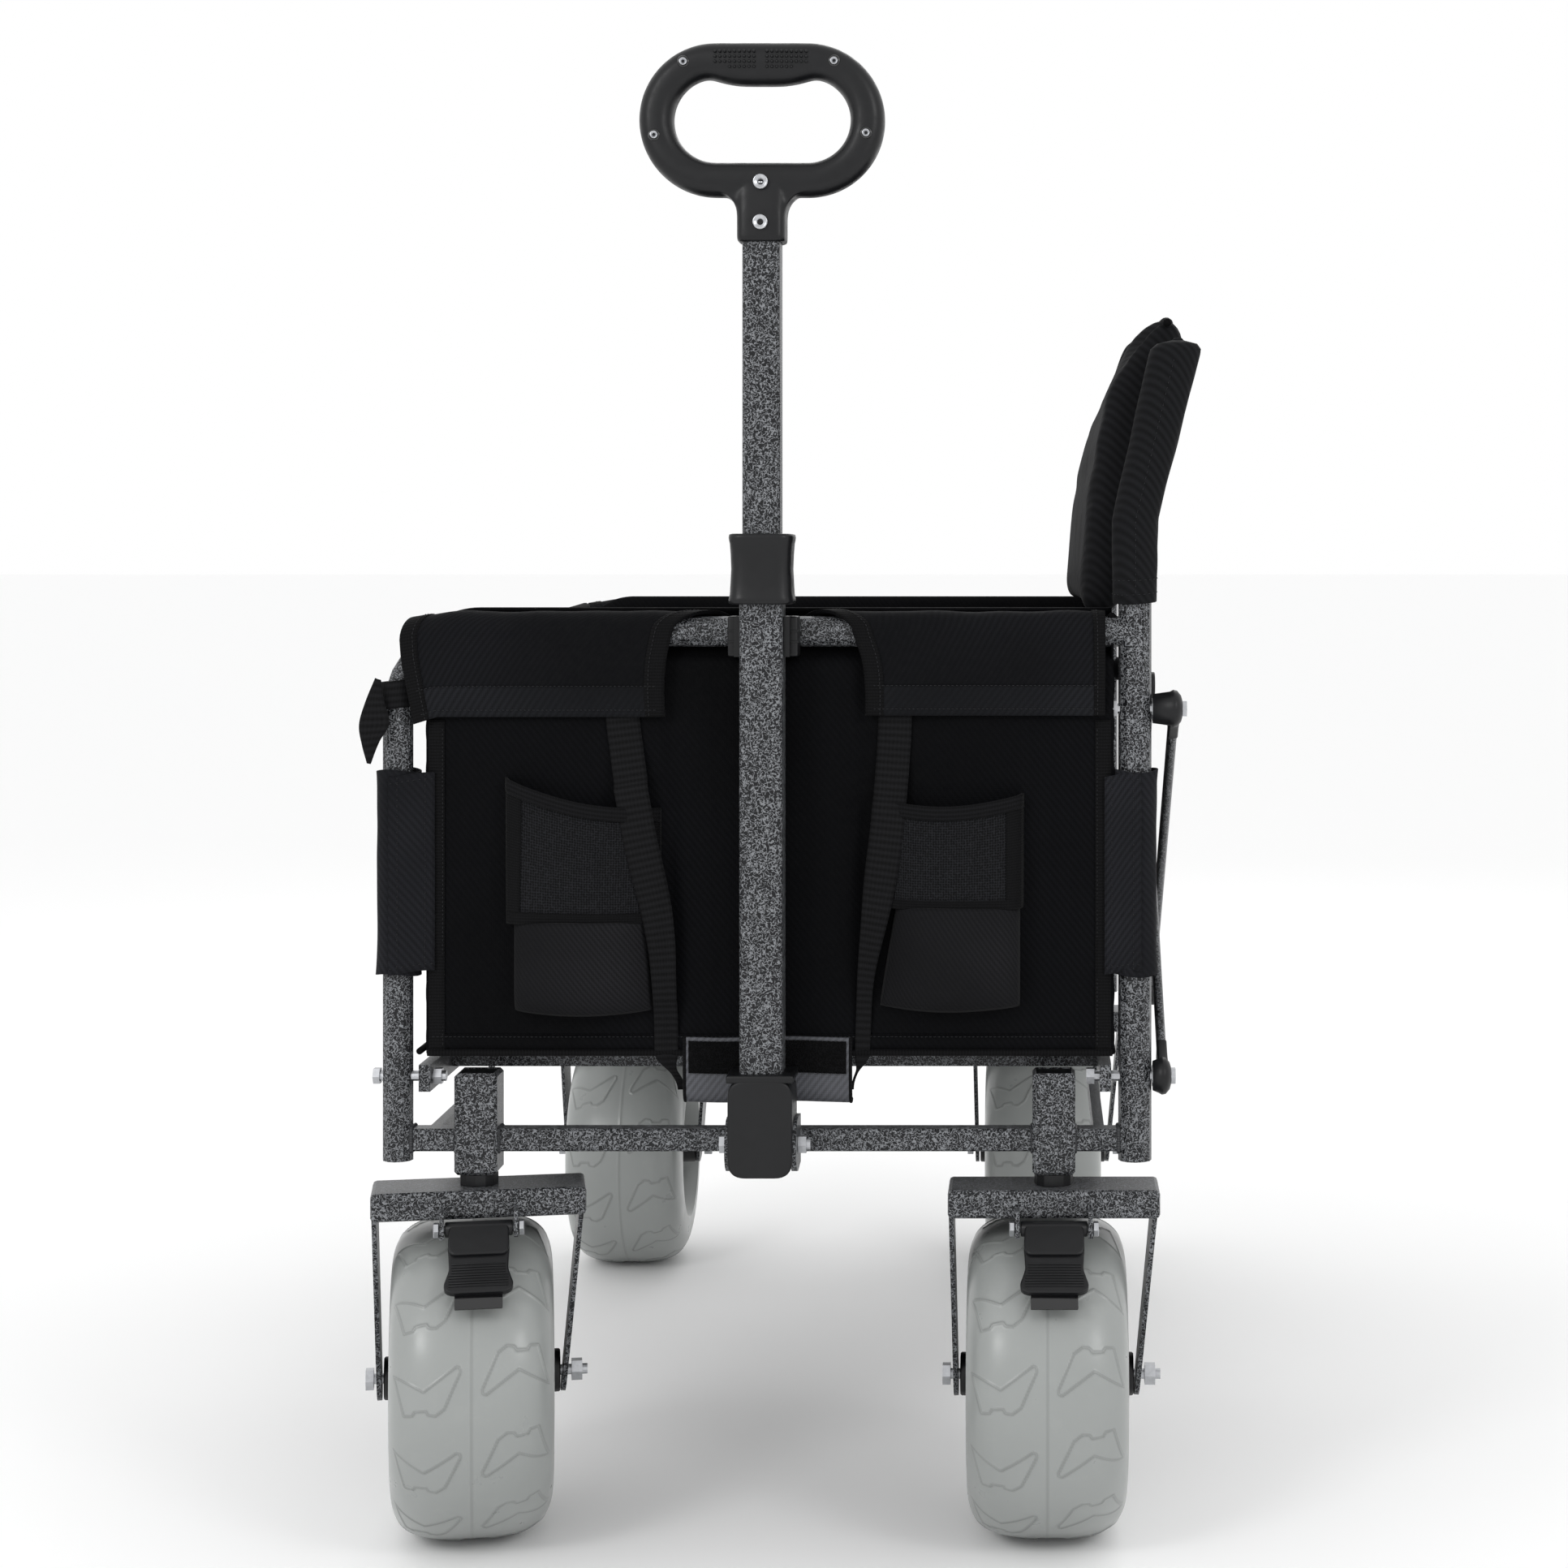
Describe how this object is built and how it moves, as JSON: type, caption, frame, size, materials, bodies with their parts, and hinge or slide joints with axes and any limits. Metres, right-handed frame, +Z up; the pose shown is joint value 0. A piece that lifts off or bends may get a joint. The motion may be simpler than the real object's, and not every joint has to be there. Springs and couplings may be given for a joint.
{
  "type": "folding beach cart",
  "caption": "Folding beach cart: tube frame, fabric basket with one raised backrest, telescopic pull handle, balloon wheels with swivelling braked front casters.",
  "frame": {"origin": "middle of the cart's footprint box, on the ground", "axes": "+X towards the backrest side, +Y from the handle end to the rear end, +Z up"},
  "size_m": [0.625, 1.1012, 1.12],
  "materials": {
    "vein_powder_coat": "dark grey hammered silver-vein powder coat",
    "black_plastic": "moulded black plastic, satin",
    "zinc": "bright zinc plate",
    "tyre_grey": "smooth satin warm grey tyre",
    "black_twill": "black 600D polyester twill",
    "black_webbing": "black woven webbing",
    "black_mesh": "black knitted mesh with elastic binding",
    "board_grey": "dark grey fabric over a stiff board"
  },
  "bodies": {
    "front": {"front_frame": "vein_powder_coat", "handle_clip": "black_plastic", "king_bolt_left": "zinc", "king_bolt_right": "zinc", "handle_pivot_bolt": "zinc", "lower_pivot_bolt_front_left": "zinc", "lower_pivot_bolt_front_right": "zinc", "upper_pivot_bolt_front": "zinc", "front_wall": "black_twill", "left_wall": "black_twill", "right_wall": "black_twill", "backrest_panel": "black_twill", "pocket_left": "black_mesh", "pocket_right": "black_mesh", "webbing_left": "black_webbing", "webbing_right": "black_webbing", "front_flap_left": "black_twill", "front_flap_right": "black_twill", "post_wrap_left": "black_twill", "post_wrap_right": "black_twill", "bottom_flap": "black_twill"},
    "handle": {"handle_knuckle": "black_plastic", "handle_outer_tube": "vein_powder_coat", "handle_collar": "black_plastic"},
    "handle_top": {"handle_inner_tube": "vein_powder_coat", "grip_front_shell": "black_plastic", "grip_rear_shell": "black_plastic"},
    "floor_front": {"floor_frame_front": "vein_powder_coat", "floor_board_front": "board_grey"},
    "floor_rear": {"floor_frame_rear": "vein_powder_coat", "floor_board_rear": "board_grey"},
    "rear": {"rear_frame": "vein_powder_coat", "rear_wall": "black_twill", "fork_rear_left": "vein_powder_coat", "fork_rear_right": "vein_powder_coat", "axle_bolt_rear_left": "zinc", "axle_bolt_rear_right": "zinc", "mount_bolt_rear_left": "zinc", "mount_bolt_rear_right": "zinc", "lower_pivot_bolt_rear_left": "zinc", "lower_pivot_bolt_rear_right": "zinc", "upper_pivot_bolt_rear": "zinc"},
    "bar_falling_front": {"side_bar_falling_front": "vein_powder_coat"},
    "bar_rising_front": {"side_bar_rising_front": "vein_powder_coat"},
    "bar_falling_rear": {"side_bar_falling_rear": "vein_powder_coat"},
    "bar_rising_rear": {"side_bar_rising_rear": "vein_powder_coat"},
    "caster_left": {"fork_front_left": "vein_powder_coat", "axle_bolt_front_left": "zinc"},
    "brake_left": {"brake_pedal_left": "black_plastic"},
    "wheel_front_left": {"tyre_front_left": "tyre_grey", "hub_front_left": "black_plastic"},
    "wheel_rear_left": {"tyre_rear_left": "tyre_grey", "hub_rear_left": "black_plastic"},
    "caster_right": {"fork_front_right": "vein_powder_coat", "axle_bolt_front_right": "zinc"},
    "brake_right": {"brake_pedal_right": "black_plastic"},
    "wheel_front_right": {"tyre_front_right": "tyre_grey", "hub_front_right": "black_plastic"},
    "wheel_rear_right": {"tyre_rear_right": "tyre_grey", "hub_rear_right": "black_plastic"}
  },
  "joints": [
    {"name": "fold", "type": "hinge", "parent": "front", "child": "floor_front", "pos_m": [-0.00762, -0.45342, 0.35], "axis": [1, 0, 0], "range_deg": [0, 73], "deforming": ["left_wall", "right_wall", "backrest_panel"]},
    {"name": "floor_middle_fold", "type": "hinge", "parent": "floor_front", "child": "floor_rear", "pos_m": [-0.00762, -0.02342, 0.35], "axis": [1, 0, 0], "range_deg": [-146, 0]},
    {"name": "rear_frame_fold", "type": "hinge", "parent": "floor_rear", "child": "rear", "pos_m": [-0.00762, 0.40658, 0.35], "axis": [1, 0, 0], "range_deg": [0, 73]},
    {"name": "falling_bar_front_pivot", "type": "hinge", "parent": "front", "child": "bar_falling_front", "pos_m": [0.29239, -0.45342, 0.626], "axis": [1, 0, 0], "range_deg": [-43.1, 0]},
    {"name": "rising_bar_front_pivot", "type": "hinge", "parent": "front", "child": "bar_rising_front", "pos_m": [0.29239, -0.45342, 0.35], "axis": [1, 0, 0], "range_deg": [0, 43.1]},
    {"name": "falling_bar_rear_pivot", "type": "hinge", "parent": "rear", "child": "bar_falling_rear", "pos_m": [0.29239, 0.40658, 0.626], "axis": [1, 0, 0], "range_deg": [0, 43.1]},
    {"name": "rising_bar_rear_pivot", "type": "hinge", "parent": "rear", "child": "bar_rising_rear", "pos_m": [0.29239, 0.40658, 0.35], "axis": [1, 0, 0], "range_deg": [-43.1, 0]},
    {"name": "handle_tilt", "type": "hinge", "parent": "front", "child": "handle", "pos_m": [-0.00762, -0.48542, 0.305], "axis": [1, 0, 0], "range_deg": [0, 90]},
    {"name": "handle_extend", "type": "slide", "parent": "handle", "child": "handle_top", "axis": [0, 0, 1], "range_m": [-0.195, 0.1]},
    {"name": "caster_left_swivel", "type": "hinge", "parent": "front", "child": "caster_left", "pos_m": [-0.22362, -0.45342, 0.269], "axis": [0, 0, 1], "continuous": true},
    {"name": "wheel_front_left_spin", "type": "hinge", "parent": "caster_left", "child": "wheel_front_left", "pos_m": [-0.23309, -0.42975, 0.119], "axis": [0.9833, 0.1822, 0], "continuous": true},
    {"name": "brake_left_press", "type": "hinge", "parent": "caster_left", "child": "brake_left", "pos_m": [-0.21705, -0.48882, 0.243], "axis": [0.9833, 0.1822, 0], "range_deg": [0, 10]},
    {"name": "wheel_rear_left_spin", "type": "hinge", "parent": "rear", "child": "wheel_rear_left", "pos_m": [-0.22862, 0.43158, 0.119], "axis": [1, 0, 0], "continuous": true},
    {"name": "caster_right_swivel", "type": "hinge", "parent": "front", "child": "caster_right", "pos_m": [0.20838, -0.45342, 0.269], "axis": [0, 0, 1], "continuous": true},
    {"name": "wheel_front_right_spin", "type": "hinge", "parent": "caster_right", "child": "wheel_front_right", "pos_m": [0.20339, -0.42842, 0.119], "axis": [1, 0, 0], "continuous": true},
    {"name": "brake_right_press", "type": "hinge", "parent": "caster_right", "child": "brake_right", "pos_m": [0.20838, -0.48942, 0.243], "axis": [1, 0, 0], "range_deg": [0, 10]},
    {"name": "wheel_rear_right_spin", "type": "hinge", "parent": "rear", "child": "wheel_rear_right", "pos_m": [0.20339, 0.43158, 0.119], "axis": [1, 0, 0], "continuous": true}
  ],
  "couplings": [
    {"joint": "floor_middle_fold", "follows": "fold", "ratio": -2},
    {"joint": "rear_frame_fold", "follows": "fold", "ratio": 1},
    {"joint": "falling_bar_front_pivot", "follows": "fold", "ratio": -0.5899},
    {"joint": "rising_bar_front_pivot", "follows": "fold", "ratio": 0.5899},
    {"joint": "falling_bar_rear_pivot", "follows": "fold", "ratio": 0.5899},
    {"joint": "rising_bar_rear_pivot", "follows": "fold", "ratio": -0.5899}
  ]
}
